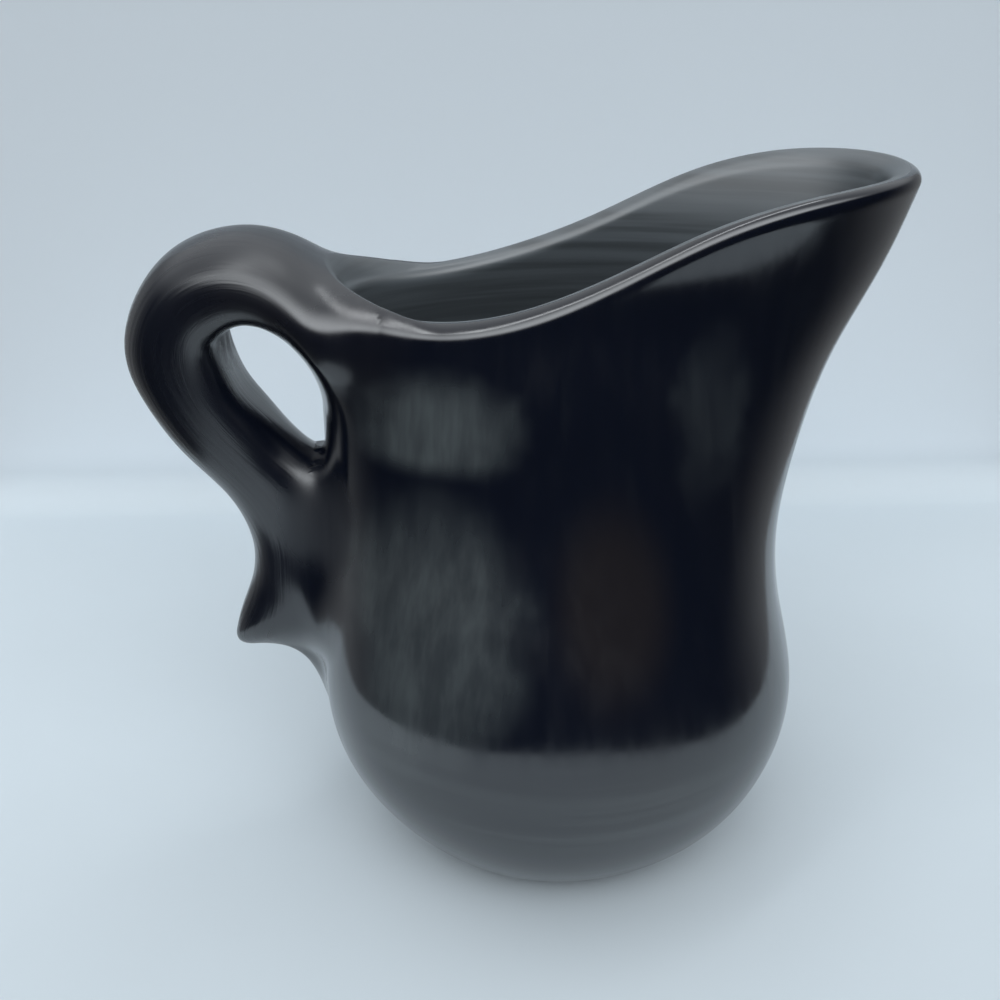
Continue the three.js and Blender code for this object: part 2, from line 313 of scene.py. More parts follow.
class Pot:
    """Wall of the pot. At each height it is an oval with its own front, back and side, pinched in front."""

    PLAIN = (
        "rim_low", "wall", "floor", "edge", "dish", "base_top", "belly_top", "lip_depth", "scarf", "sway",
    )

    def __init__(self, sizes):
        mm = {key: np.array(value) / MM for key, value in sizes.items() if key not in ("pinch", "keel")}
        heights = mm["heights"]
        low, high = heights[:5], heights[5:]
        self.bowl_z = heights[4]
        self.tip_z = heights[-1]
        self.foot = mm["bowl"][1]
        self.tip_front = mm["front"][-1]
        self.rim_back = mm["back"][-1]
        self.keel = sizes["keel"]
        stands = np.r_[mm["back"], self.rim_back, self.rim_back]
        self.front = Spline(heights, np.r_[mm["bowl"], mm["front"]])
        self.back = Spline(heights[:-1], np.r_[mm["bowl"], stands])
        self.side = Spline(heights, np.r_[mm["bowl"], mm["side"]])
        self.pinch = Spline(np.r_[low[-1], high[:4], high[-1]], np.r_[0.5, 0.5, sizes["pinch"]])
        self.rise = Spline(*np.array(RISE).T)
        for key in self.PLAIN:
            setattr(self, key, float(mm[key]))

    def wall_at(self, angle, z, inset=0.0):
        """Point of the wall: (reach cos a, side sin a squeezed towards the keel, z), less the inset."""
        angle, z, inset = np.broadcast_arrays(angle, z, inset)
        c, s = np.cos(angle), np.sin(angle)
        ahead = ease(-0.3, 0.3, c)
        reach = self.back(z) + (self.front(z) - self.back(z)) * ahead - inset
        pinch = np.where(z > self.bowl_z, self.pinch(z) - 0.5, 0.0) * ease(-0.1, 0.5, c)
        squeeze = ((s * s + self.keel**2) / (1 + self.keel**2)) ** pinch
        return np.stack([reach * c, (self.side(z) - inset) * s * squeeze, z], -1)

    def rim_over(self, x):
        """Height of the rim over a place between the handle and the tip of the spout."""
        along = (x + self.rim_back) / (self.tip_front + self.rim_back)
        return self.rim_low + (self.tip_z - self.rim_low) * self.rise(along)

    def rim(self, angle):
        """Height of the rim at an angle, settled by halving steps because the wall leans."""
        z = np.full(np.shape(angle), self.rim_low)
        for _ in range(40):
            z = 0.5 * (z + self.rim_over(self.wall_at(angle, z)[..., 0]))
        return z

    def inset(self, point):
        """How deep a point behind the axis lies in the wall, from the outer face inwards: the i that solves
        (x / (back - i))^2 + (y / (side - i))^2 = 1, by Newton's steps."""
        x, y, z = np.moveaxis(point, -1, 0)
        back, side = self.back(z), self.side(z)
        spread = np.sqrt((x / back) ** 2 + (y / side) ** 2)
        depth = (1 - spread) * np.where(spread < 1, np.maximum(back, side), np.minimum(back, side))
        limit = np.minimum(back, side) - 3.0
        for _ in range(7):
            depth = np.minimum(depth, limit)
            across, aside = x / (back - depth), y / (side - depth)
            excess = across**2 + aside**2 - 1
            grade = 2 * across**2 / (back - depth) + 2 * aside**2 / (side - depth)
            depth = depth - excess / np.maximum(grade, 1e-3)
        return np.minimum(depth, limit)

    def skin(self, point, depth):
        """Distance outside the wall and its half-round lip, for a point at that depth behind the axis."""
        x, z = point[..., 0], point[..., 2]
        half = self.wall / 2
        reach = self.back(z)
        spring = self.rim_over(self.rim_back * np.clip(x / (reach - depth), -1, 1)) - half
        above = np.maximum(z - spring, 0)
        return np.hypot(depth - half, above) - half


class Strap:
    """The handle: an oval carried along a bent line, each oval reaching from the outer face to the inner
    one. Below the shank it becomes a fin with a rounded edge, the spur."""

    def __init__(self, sizes, pot):
        mm = {key: value / MM for key, value in sizes.items()}
        mm["finger_flat"] = sizes["finger_flat"]
        form = np.array(HANDLE_FORM, float)
        across, down, lean, thick, wide = form.T
        outer = np.stack([
            -(pot.rim_back + across * (mm["reach"] - pot.rim_back)),
            mm["top"] - down * (mm["top"] - mm["spur"]),
        ], -1)
        through = np.stack([np.cos(np.radians(lean)), np.sin(np.radians(lean))], -1)
        half = through * (thick * mm["thick"] / 2)[:, None]
        middle = outer + half
        half_wide = wide * mm["wide"] / 2
        self.lengths = np.r_[0, np.cumsum(np.hypot(*np.diff(middle, axis=0).T))]
        self.line = Spline(self.lengths, np.c_[middle, half, half_wide])
        limb, under = list(LIMB_STATIONS), list(UNDER_STATIONS)
        self.back_edge = Spline(outer[limb, 1], outer[limb, 0])
        self.under_edge = Spline(outer[under, 0], outer[under, 1])
        waist = under[::-1][:-1] + limb
        self.fin_wide = Spline(outer[waist, 1], half_wide[waist])
        self.sizes = mm
        self.pot = pot

    def at(self, s, turn):
        """Point of the strap: middle - cos(turn) half + sin(turn) width sideways."""
        x, z, hx, hz, wide = np.moveaxis(self.line(s), -1, 0)
        return np.stack([x - np.cos(turn) * hx, wide * np.sin(turn), z - np.cos(turn) * hz], -1)

    def nearest(self, point):
        """Lengths along the strap of the ovals nearest to each point, on its upper half and its lower."""
        waist, end = self.lengths[WAIST], self.lengths[-1]
        return [self.nearest_within(point, *span) for span in ((0, waist), (waist, end))]

    def nearest_within(self, point, low, high):
        """Length along the strap of the oval nearest to each point, out of evenly spread ones of a span."""
        s = np.linspace(low, high, 120)
        x, z, hx, hz, _ = self.line(s).T
        size = np.hypot(hx, hz)
        dx, dz = point[..., 0:1] - x, point[..., 2:3] - z
        off = (dx * hz - dz * hx) / size
        beyond = np.maximum(np.abs(dx * hx + dz * hz) / size - size, 0)
        return s[np.argmin(off**2 + beyond**2, axis=-1)]

    def loop_field(self, point, nearest):
        """Distance outside the loop: the lesser of those outside its upper half and its lower half."""
        return np.minimum(*(self.half_field(point, s) for s in nearest))

    def half_field(self, point, s):
        """Distance outside the oval whose plane passes through each point, found from a first guess by
        Newton's steps on cross(point - middle, half) = 0. Past the strap's ends it is the distance to the
        end oval."""
        x, y, z = np.moveaxis(point, -1, 0)
        for _ in range(5):
            value, slope = self.line.both(s)
            mx, mz, hx, hz, _ = np.moveaxis(value, -1, 0)
            gx, gz, kx, kz, _ = np.moveaxis(slope, -1, 0)
            dx, dz = x - mx, z - mz
            miss = dx * hz - dz * hx
            grade = -gx * hz + gz * hx + dx * kz - dz * kx
            grade = np.where(np.abs(grade) < 1.0, np.where(grade < 0, -1.0, 1.0), grade)
            s = np.clip(s - np.clip(miss / grade, -4, 4), 0, self.lengths[-1])
        mx, mz, hx, hz, wide = np.moveaxis(self.line(s), -1, 0)
        size = np.hypot(hx, hz)
        u = ((x - mx) * hx + (z - mz) * hz) / size**2
        miss = np.abs((x - mx) * hz - (z - mz) * hx) / size
        eased, flat = self.finger(s)
        u = np.where(u > 0, u * size / (size - eased * self.sizes["finger_ease"]), u)
        outside = self.oval(u, y / wide, size, wide, 2 + (self.sizes["finger_flat"] - 2) * flat)
        return np.where(miss > 1e-3, np.hypot(np.maximum(outside, 0), miss), outside)

    def fin_field(self, point):
        """Distance outside the fin: its side view lies inside the limb's back edge and above the spur's
        underside, joined by a rounded corner, and its thickness is an oval over the depth from there."""
        x, y, z = np.moveaxis(point, -1, 0)
        edge, lean = (v[..., 0] for v in self.back_edge.both(z))
        under, fall = (v[..., 0] for v in self.under_edge.both(x))
        inside_back = (x - edge) / np.hypot(1, lean)
        inside_under = (z - under) / np.hypot(1, fall)
        corner = self.sizes["tip_round"]
        gap = np.clip(1 - np.abs(inside_back - inside_under) / corner, 0, 1)
        inside = np.minimum(inside_back, inside_under) - corner / 4 * gap**2
        depth = self.sizes["edge_depth"]
        wide = np.maximum(self.fin_wide(z), 2.0)
        return self.oval(np.minimum(inside / depth - 1, 0), y / wide, depth, wide, 2.0)

    def finger(self, s):
        """Shares of the clay scraped away and of the flatness on the finger side, 1 round the loop and 0
        below the hole. The scraping starts in the root and the flatness past it."""
        marks = self.lengths
        below = 1 - ease(marks[6], marks[8], s)
        return ease(marks[0], marks[2], s) * below, ease(marks[2], marks[4], s) * below

    @staticmethod
    def oval(u, v, thick, wide, flat):
        """First-order distance to the oval |u|^p + |v|^p = 1 with half axes thick and wide. The outer half
        is a plain oval, p = 2, and the finger side is flatter with a fuller edge."""
        power = np.where(u > 0, flat, 2.0)
        a, b = np.abs(u), np.abs(v)
        spread = np.maximum((a**power + b**power) ** (1 / power), 1e-6)
        grade = np.hypot((a / spread) ** (power - 1) / thick, (b / spread) ** (power - 1) / wide)
        return (spread - 1) / np.maximum(grade, 1e-4)

    def field(self, point, nearest):
        """Distance outside the handle, the fillet wanted there and the depth in the pot's wall. The fillet
        is small in the bottom corner of the finger hole and under the spur, and wide beside the root and
        limb. The distance grows below the spur, so that the joint ends there."""
        y, z = np.abs(point[..., 1]), point[..., 2]
        loop = self.loop_field(point, nearest)
        outside = loop + (self.fin_field(point) - loop) * (1 - ease(*FIN_TO_LOOP, z))
        depth = self.pot.inset(point)
        outside = smooth_max(outside, depth - self.pot.wall / 2, 2.0)
        outside = outside + JOINT_GAP * (1 - ease(*JOINT_FADES, z))
        names = ("limb", "hole", "root", "crotch", "spur")
        limb, hole, root, crotch, spur = (self.sizes[name + "_fillet"] for name in names)
        fillet = limb + (hole - limb) * ease(*LIMB_TO_HOLE, z)
        fillet = fillet + (root - fillet) * ease(*HOLE_TO_ROOT, z)
        corner = ease(*CORNER_STARTS, z) * (1 - ease(*CORNER_STOPS, z)) * (1 - ease(*CORNER_HALF, y))
        fillet = fillet + (crotch - fillet) * corner
        fillet = fillet + (spur - fillet) * (1 - ease(*SPUR_TO_LIMB, z))
        return outside, fillet * (1 - 0.94 * ease(*DEPTH_SHARP, depth)), depth


def smooth_max(a, b, width):
    """The greater of two fields, rounded where they differ by less than the width."""
    near = np.clip(1 - np.abs(a - b) / width, 0, 1)
    return np.maximum(a, b) + width / 4 * near**2


def luted(own, other, fillet, margin=4.0):
    """Field of a skin that runs smoothly into another one: own - k/4 (1 - (other - own) / k)^2 within the
    fillet k. The two skins share one surface at their meeting line. Past a margin the own skin dives under
    the other."""
    gap = other - own
    lift = np.clip(1 - gap / fillet, 0, 2) ** 2
    under = ease(margin, margin + 0.6 * fillet, -gap)
    return own - fillet / 4 * lift * (1 - under)


def sway_of(point, amount):
    """Slow uneven drift of a hand-made shape: a few long waves in each direction, none at the foot."""
    waves = (
        ((0.071, 0.043, 0.038), (0.9, 0.2, 0.1), 0.4),
        ((-0.052, 0.083, 0.061), (0.3, 0.9, 0.0), 2.1),
        ((0.033, -0.067, 0.112), (0.5, -0.5, 0.4), 4.0),
        ((0.128, 0.021, -0.057), (-0.2, 0.6, 0.3), 1.3),
        ((0.047, 0.139, 0.089), (0.5, 0.5, -0.2), 5.2),
    )
    drift = sum(np.sin(point @ np.array(k) + phase)[..., None] * np.array(way) for k, way, phase in waves)
    return drift * (amount * ease(0, 12, point[..., 2]))[..., None]


def slope_along(grid, axis, ring):
    """Second-order derivative along one axis of a grid whose steps are uneven, once round or open."""
    grid = np.moveaxis(grid, axis, 0)
    if ring:
        ahead, behind = np.roll(grid, -1, 0) - grid, grid - np.roll(grid, 1, 0)
    else:
        step = np.diff(grid, axis=0)
        ahead, behind = np.r_[step, step[-1:]], np.r_[step[:1], step]
    far = np.maximum(np.linalg.norm(ahead, axis=-1, keepdims=True), 1e-9)
    near = np.maximum(np.linalg.norm(behind, axis=-1, keepdims=True), 1e-9)
    return np.moveaxis((ahead / far * near + behind / near * far) / (far + near), 0, axis)


def normals_of(grid):
    """Unit normals of a grid of rows that each run once round: slope round the row times slope along it."""
    cross = np.cross(slope_along(grid, 1, True), slope_along(grid, 0, False))
    return cross / np.maximum(np.linalg.norm(cross, axis=-1, keepdims=True), 1e-12)


def held(group):
    """The values of a property group as pairs of name and value that can be hashed."""
    names = group.__annotations__
    return tuple(
        (name, tuple(value) if hasattr(value, "__len__") else value)
        for name, value in ((n, getattr(group, n)) for n in names)
    )


@functools.lru_cache(maxsize=1)
def shaped(pot_sizes, handle_sizes):
    """Skins of the pot and of the handle, run smoothly into each other."""
    pot = Pot(dict(pot_sizes))
    strap = Strap(dict(handle_sizes), pot)
    return pot_skin(pot, strap), strap_skin(pot, strap)


def pot_skin(pot, strap):
    """Grid of the whole pot. Rows run from the middle of the foot out and up the wall, over the lip, down
    the inside and over the floor to its middle. Columns stand closer at the beak and at the handle."""
    even = np.arange(COLUMNS) * 2 * math.pi / COLUMNS
    angle = (even - CROWD / 2 * np.sin(2 * even))[None, :]
    rim = pot.rim(angle)
    spring = rim - pot.wall / 2
    rows, marks = [], {}

    def rise(low, high, count, inset):
        """Rows of wall from one height towards another, without the last."""
        t = (np.arange(count) / count)[:, None]
        return pot.wall_at(angle, low + (high - low) * t, inset)

    def add(name, grid):
        """Keeps rows of the grid and marks the first by name."""
        marks[name] = sum(len(r) for r in rows)
        rows.append(np.broadcast_to(grid, (grid.shape[0], COLUMNS, 3)))

    foot = pot.wall_at(angle, 0.0)
    flat = (pot.foot - pot.edge) / pot.foot
    t = (np.arange(ROWS_UNDER) / ROWS_UNDER)[:, None, None]
    under = foot * t * flat
    under[..., 2] = pot.dish * (1 - t[..., 0] ** 2) ** 2
    add("under", under)
    t = (np.arange(ROWS_EDGE) / ROWS_EDGE)[:, None, None]
    up = pot.wall_at(angle, pot.edge)
    add("edge", (1 - t) ** 2 * foot * flat + 2 * t * (1 - t) * foot + t**2 * up)
    add("base", rise(pot.edge, pot.base_top, ROWS_BASE, 0))
    add("belly", rise(pot.base_top, pot.belly_top, ROWS_BELLY, 0))
    add("neck", rise(pot.belly_top, rim - pot.lip_depth, ROWS_NECK, 0))
    add("lip", rise(rim - pot.lip_depth, spring, ROWS_FLANK, 0))
    turn = (np.arange(ROWS_LIP) * math.pi / ROWS_LIP)[:, None]
    half = pot.wall / 2
    add("crest", pot.wall_at(angle, spring + half * np.sin(turn), half * (1 - np.cos(turn))))
    lap = rim - pot.lip_depth + pot.scarf
    belly_lap, base_lap = pot.belly_top + pot.scarf, pot.base_top + pot.scarf
    add("inner_lip", rise(spring, lap, ROWS_FLANK, pot.wall))
    add("inner_neck", rise(lap, belly_lap, ROWS_INNER_NECK, pot.wall))
    add("inner_belly", rise(belly_lap, base_lap, ROWS_INNER_BELLY, pot.wall))
    turn = (math.pi / 2 * (1 - np.arange(ROWS_FLOOR + 1) / ROWS_FLOOR))[:, None, None]
    heel = pot.wall_at(angle, base_lap, pot.wall)
    floor = heel * np.sin(turn)
    floor[..., 2] = heel[..., 2] - (heel[..., 2] - pot.floor) * np.cos(turn)[..., 0]
    add("floor", floor)

    grid = np.concatenate(rows)
    outward = normals_of(grid)
    behind = (grid[..., 0] < 0) & (grid[..., 2] > LIFT_FROM)
    grid[behind] = lift_to_handle(grid[behind], outward[behind], pot, strap)
    behind[marks["crest"] + ROWS_LIP :] = False
    shared, weight, _ = joint_normals(grid[behind][:, None], pot, strap)
    grid = grid + sway_of(grid, pot.sway)
    normals = normals_of(grid)
    normals[behind] = (normals[behind][:, None] * (1 - weight) + shared * weight)[:, 0]
    normals[0], normals[-1] = (0, 0, -1), (0, 0, 1)
    inside = np.zeros(grid.shape[:2])
    inside[marks["crest"] + ROWS_LIP // 2 :] = 1
    marks["end"] = len(grid) - 1
    return {"grid": grid, "normals": normals, "marks": marks, "inside": inside}


def lift_to_handle(point, outward, pot, strap):
    """Moves wall points out along their normals onto the surface that runs smoothly into the handle, by
    Newton's steps with the slope taken from a short step ahead."""
    nearest = strap.nearest(point)
    rest = pot.skin(point, pot.inset(point))
    step = 0.03
    move = np.zeros(len(point))

    def field(distance):
        """Field of the wall's skin at each point moved out by a distance."""
        place = point + outward * distance[:, None]
        handle, fillet, depth = strap.field(place, nearest)
        return luted(pot.skin(place, depth) - rest, handle, fillet)

    for _ in range(18):
        here = field(move)
        grade = np.maximum((field(move + step) - here) / step, 0.25)
        move = np.clip(move - np.clip(here / grade, -1.5, 1.5), -0.5, 12.0)
    return point + outward * move[:, None]


def strap_skin(pot, strap):
    """Grid of the handle. Rows run along the strap from inside the pot's wall round the loop, down the limb
    and round the spur, and columns once round the oval. The rows of the root start where each column leaves
    the wall, and a point inside the wall closes them. Under the lip's crest the strap sinks below the pot's
    skin. The tool marks lie on the finger side of the loop."""
    turn = (np.arange(ROUND_STRAP) * 2 * math.pi / ROUND_STRAP)[None, :]
    low, high = np.zeros_like(turn), np.full_like(turn, strap.lengths[ROOT_STATION])
    for _ in range(36):
        s = (low + high) / 2
        buried = pot.inset(strap.at(s, turn)) > 0.4 * pot.wall
        low, high = np.where(buried, s, low), np.where(buried, high, s)
    crest, shank, end = (strap.lengths[i] for i in (ROOT_STATION, SHANK, -1))
    t = (np.arange(ROWS_ROOT) / ROWS_ROOT)[:, None]
    root = low + (crest - low) * t
    loop = np.linspace(crest, shank, ROWS_LOOP + 1)[:-1, None] + 0 * turn
    spur = np.linspace(shank, end, ROWS_SPUR + 1)[:, None] + 0 * turn
    s = np.concatenate([root, loop, spur])
    grid = settle(strap.at(s, turn), pot, strap)
    grid[..., 1] -= grid[..., 1].mean(axis=1, keepdims=True)
    shared, weight, lift = joint_normals(grid, pot, strap)
    grid = grid - shared * (1.2 * ease(0.8, 2.6, pot.inset(grid)))[..., None]
    begins, full, stops = strap.lengths[[ROOT_STATION, ROOT_STATION + 1, WAIST]]
    gouge = ease(0.7, 0.97, -np.cos(turn)) * ease(begins, full, s) * (1 - ease(full, stops, s))
    grid = grid - normals_of(grid) * (gouge * gouge_depth(s, turn))[..., None]
    grid = grid + sway_of(grid, pot.sway)
    normals = normals_of(grid) * (1 - weight) + shared * weight
    marks = {
        "gouge": gouge,
        "loose": 1 - ease(0.0, 0.8, lift),
        "along": s * MM,
        "round_x": np.cos(turn) + 0 * s,
        "round_y": np.sin(turn) + 0 * s,
    }
    high = grid[0, :, 2].mean()
    buried = np.broadcast_to([1.5 - pot.back(high), 0.0, high], (1, ROUND_STRAP, 3))
    return {
        "grid": np.concatenate([buried, grid]),
        "normals": np.concatenate([normals[:1], normals]),
        "shank": 1 + ROWS_ROOT + ROWS_LOOP,
        "marks": {key: np.concatenate([mark[:1], mark]) for key, mark in marks.items()},
    }


def joint_normals(grid, pot, strap):
    """Normals of the surface that both skins share at the joint, from the slope of its field, and how much
    they count: 1 within the fillet and 0 away from it. They lean with the hand sway: n less (slope of
    sway)^T n. The lift is how far each place has come into the fillet: 0 at its border and 1 at the meeting
    line."""
    point = grid.reshape(-1, 3)
    nearest = strap.nearest(point)

    def parts(p):
        """Field of the shared surface, min(handle, wall) - k/4 lift^2, and the lift."""
        handle, fillet, depth = strap.field(p, nearest)
        wall = pot.skin(p, depth)
        lift = np.clip(1 - np.abs(handle - wall) / fillet, 0, 1)
        return np.minimum(handle, wall) - fillet / 4 * lift**2, lift

    aside = np.eye(3) * FIELD_STEP
    normal = np.stack([parts(point + e)[0] - parts(point - e)[0] for e in aside], -1)
    lean = np.stack([sway_of(point + e, pot.sway) - sway_of(point - e, pot.sway) for e in aside], -1)
    normal = normal - np.einsum("ijk,ij->ik", lean / (2 * FIELD_STEP), normal)
    normal = normal / np.maximum(np.linalg.norm(normal, axis=-1, keepdims=True), 1e-9)
    value, lift = parts(point)
    weight = ease(0.0, 0.15, lift) * (1 - ease(0.05, 0.2, np.abs(value)))
    shape = grid.shape[:-1]
    return normal.reshape(grid.shape), weight.reshape(shape)[..., None], lift.reshape(shape)


def gouge_depth(s, turn):
    """Depth of the tool marks in the finger hole: streaks along the strap, broken up by slower waves."""
    streaks = np.sin(17 * turn + 1.4 * np.sin(0.45 * s)) * (0.6 + 0.4 * np.sin(0.37 * s + 5 * turn))
    return 0.12 + 0.22 * streaks


def settle(point, pot, strap):
    """Brings strap points onto the surface that runs smoothly into the pot, by steps down the field's slope.
    Points that have arrived are left out of the next step."""
    place = point.reshape(-1, 3).copy()
    nearest = np.stack(strap.nearest(place))
    aside = np.eye(3) * FIELD_STEP
    left = np.arange(len(place))

    def field(p, near):
        """Field of the strap's skin."""
        handle, fillet, depth = strap.field(p, near)
        return luted(handle, pot.skin(p, depth), fillet)

    for _ in range(24):
        here = field(place[left], nearest[:, left])
        away = np.abs(here) > 1e-3
        left, here = left[away], here[away]
        p, near = place[left], nearest[:, left]
        rise = np.stack([field(p + e, near) - field(p - e, near) for e in aside], -1)
        slope = rise / (2 * FIELD_STEP)
        steep = np.maximum((slope**2).sum(-1), 0.1)
        place[left] = p - slope * np.clip(here / steep, -1.2, 1.2)[:, None]
    return place.reshape(point.shape)


def skin_mesh(name, grid, normals, rows, closed, marks):
    """Closed mesh from chosen rows of a grid, each once round. A row whose points all meet becomes one
    pole. Closed joins the last row to the first, otherwise each end is a pole or is closed by a fan to its
    middle. Marks are named values of each point."""
    count = grid.shape[1]
    points, shades, values, faces, starts = [], [], {key: [] for key in marks}, [], []

    def put(p, n, picked):
        """Adds a row's points, normals and marks, and returns the number of its first point."""
        start = sum(len(block) for block in points)
        points.append(p)
        shades.append(n)
        for key, value in picked.items():
            values[key].append(value)
        return start

    for row in rows:
        pole = np.ptp(grid[row], axis=0).max() < 1e-6
        cut = slice(0, 1) if pole else slice(None)
        picked = {key: value[row, cut] for key, value in marks.items()}
        starts.append((put(grid[row, cut], normals[row, cut], picked), pole))
    ring = np.arange(count)
    after = np.roll(ring, -1)
    pairs = list(zip(starts, starts[1:] + starts[:1])) if closed else list(zip(starts, starts[1:]))
    for (a, a_pole), (b, b_pole) in pairs:
        if a_pole:
            faces.append(np.stack([np.full(count, a), b + after, b + ring], -1))
        elif b_pole:
            faces.append(np.stack([a + ring, a + after, np.full(count, b)], -1))
        else:
            faces.append(np.stack([a + ring, a + after, b + after, b + ring], -1))
    for end, row, flip in ((starts[0], rows[0], True), (starts[-1], rows[-1], False)):
        if not closed and not end[1]:
            middle = put(
                grid[row].mean(0, keepdims=True), normals[row].mean(0, keepdims=True),
                {key: value[row, :1] for key, value in marks.items()},
            )
            sides = (after, ring) if flip else (ring, after)
            faces.append(np.stack([end[0] + sides[0], end[0] + sides[1], np.full(count, middle)], -1))
    mesh = bpy.data.meshes.new(name)
    flat = [face for block in faces for face in block.tolist()]
    mesh.from_pydata((np.concatenate(points) * MM).tolist(), [], flat)
    mesh.polygons.foreach_set("use_smooth", np.ones(len(mesh.polygons), bool))
    for key, value in values.items():
        attribute = mesh.attributes.new(key, "FLOAT", "POINT")
        attribute.data.foreach_set("value", np.concatenate(value).astype(np.float32))
    mesh.update()
    if mesh.validate():
        raise RuntimeError(f"{name} has faulty faces")
    unit = np.concatenate(shades)
    unit = unit / np.maximum(np.linalg.norm(unit, axis=-1, keepdims=True), 1e-9)
    mesh.normals_split_custom_set_from_vertices(unit.tolist())
    return mesh


def place_piece(context, node, mesh):
    """Puts a mesh in the scene in the place of a solid, with the burnished clay on it."""
    piece = bpy.data.objects.new(node + "_clay", mesh)
    context.scene.collection.objects.link(piece)
    mesh.materials.append(burnished_clay(context.scene.pitcher_clay))
    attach(piece, BODY)
    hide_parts(node)


def skins(context):
    """The shaped skins for the scene's own sizes."""
    return shaped(held(context.scene.pitcher_pot), held(context.scene.pitcher_handle))


def coil(context, node, outer, inner, closed=True):
    """A piece of the pot from its outer and its inner rows, each a pair of marks with both ends kept."""
    skin = skins(context)[0]
    marks = skin["marks"]
    rows = [r for first, last in (outer, inner) for r in range(marks[first], marks[last] + 1)]
    rows = list(dict.fromkeys(rows))
    mesh = skin_mesh(node, skin["grid"], skin["normals"], rows, closed, {"inside": skin["inside"]})
    place_piece(context, node, mesh)


class Socket:
    """A shader socket that takes part in Python expressions. Each operator adds a Math node."""

    def __init__(self, tree, socket):
        self.tree, self.socket = tree, socket

    def maths(self, operation, *values):
        """A Math node on values or sockets."""
        return self.tree.add("Math", {"operation": operation}, values)

    def __add__(self, other):
        return self.maths("ADD", self, other)

    def __sub__(self, other):
        return self.maths("SUBTRACT", self, other)

    def __mul__(self, other):
        return self.maths("MULTIPLY", self, other)

    def __rsub__(self, other):
        return self.maths("SUBTRACT", other, self)

    __radd__ = __add__
    __rmul__ = __mul__

    def between(self, low, high):
        """0 below low, 1 above high, eased between."""
        settings = {"interpolation_type": "SMOOTHSTEP"}
        return self.tree.add("MapRange", settings, {"Value": self, "From Min": low, "From Max": high})


class Nodes:
    """A material's or world's node tree, filled by one method."""

    def __init__(self, owner):
        owner.use_nodes = True
        self.tree = owner.node_tree
        self.tree.nodes.clear()

    def add(self, kind, settings=None, values=(), out=0):
        """Adds a node of a type with its settings, then links or fills its sockets. Gives an output."""
        node = self.tree.nodes.new("ShaderNode" + kind)
        for key, value in (settings or {}).items():
            setattr(node, key, value)
        pairs = values.items() if isinstance(values, dict) else enumerate(values)
        for key, value in pairs:
            if isinstance(value, Socket):
                self.tree.links.new(value.socket, node.inputs[key])
            else:
                node.inputs[key].default_value = value
        return Socket(self, node.outputs[out]) if node.outputs else node

    def mix(self, factor, first, second):
        """A colour mixed from two."""
        settings = {"data_type": "RGBA", "clamp_factor": True}
        return self.add("Mix", settings, {0: factor, 6: first, 7: second}, out=2)

    def mark(self, name):
        """The value of a piece's own attribute."""
        return self.add("Attribute", {"attribute_name": name}, out=2)

    def vector(self, operation, *values, out=0):
        """A Vector Math node on vectors or sockets."""
        return self.add("VectorMath", {"operation": operation}, values, out)

    def blob(self, where, centre, size):
        """1 in the middle of an oval place, given in millimetres, falling to 0 at its edge."""
        away = self.vector("SUBTRACT", where, [v * MM for v in centre])
        away = self.vector("DIVIDE", away, [v * MM for v in size])
        return 1 - self.vector("LENGTH", away, out=1).between(0.35, 1.0)

    def stretched(self, where, scale, detail, roughness):
        """Noise on coordinates scaled separately in each direction, in features per metre."""
        vector = self.vector("MULTIPLY", where, scale)
        values = {"Vector": vector, "Scale": 1.0, "Detail": detail, "Roughness": roughness}
        return self.add("TexNoise", {}, values)


def rgba(tone):
    """A colour with full alpha."""
    return (*tone, 1.0)


